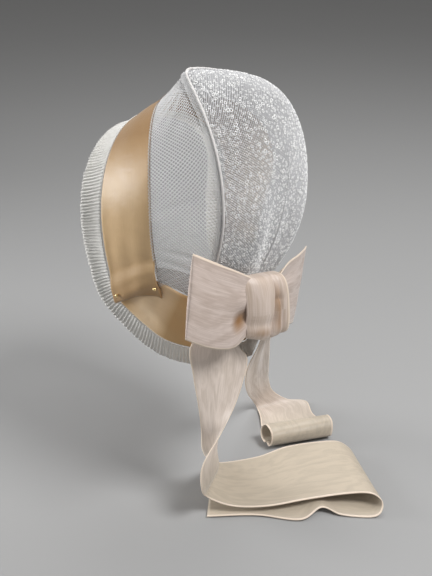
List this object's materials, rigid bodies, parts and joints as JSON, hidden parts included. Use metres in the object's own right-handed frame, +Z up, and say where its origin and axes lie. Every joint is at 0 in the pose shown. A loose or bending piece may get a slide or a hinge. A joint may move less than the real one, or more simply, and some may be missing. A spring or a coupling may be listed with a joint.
{
  "type": "coif",
  "caption": "Net coif with a gathered crown, satin band over the head, pleated face frill and a ribbon bow with two long tails at the nape.",
  "frame": {"origin": "point under the top of the crown where a head bears, on the middle plane", "axes": "+Z up, the wearer faces -Y, the wearer's left is +X"},
  "size_m": [0.2011, 0.2442, 0.3334],
  "materials": {
    "net": "sheer net",
    "embroidered_net": "tufted net",
    "piping": "matt",
    "frill_silk": "pleated",
    "gold_satin": "satin",
    "moire_ribbon": "watered silk",
    "pin_metal": "polished"
  },
  "bodies": {
    "root": {"face_frill": "frill_silk", "satin_band": "gold_satin", "lower_band_left": "gold_satin", "lower_band_right": "gold_satin", "net_band": "net", "seam_welt": "piping", "crown_panel": "embroidered_net", "bow_loop_left": "moire_ribbon", "bow_loop_right": "moire_ribbon", "bow_knot": "moire_ribbon", "tail_left": "moire_ribbon", "tail_right": "moire_ribbon", "pin_left_front": "pin_metal", "pin_left_back": "pin_metal", "pin_right_front": "pin_metal", "pin_right_back": "pin_metal"}
  },
  "joints": []
}
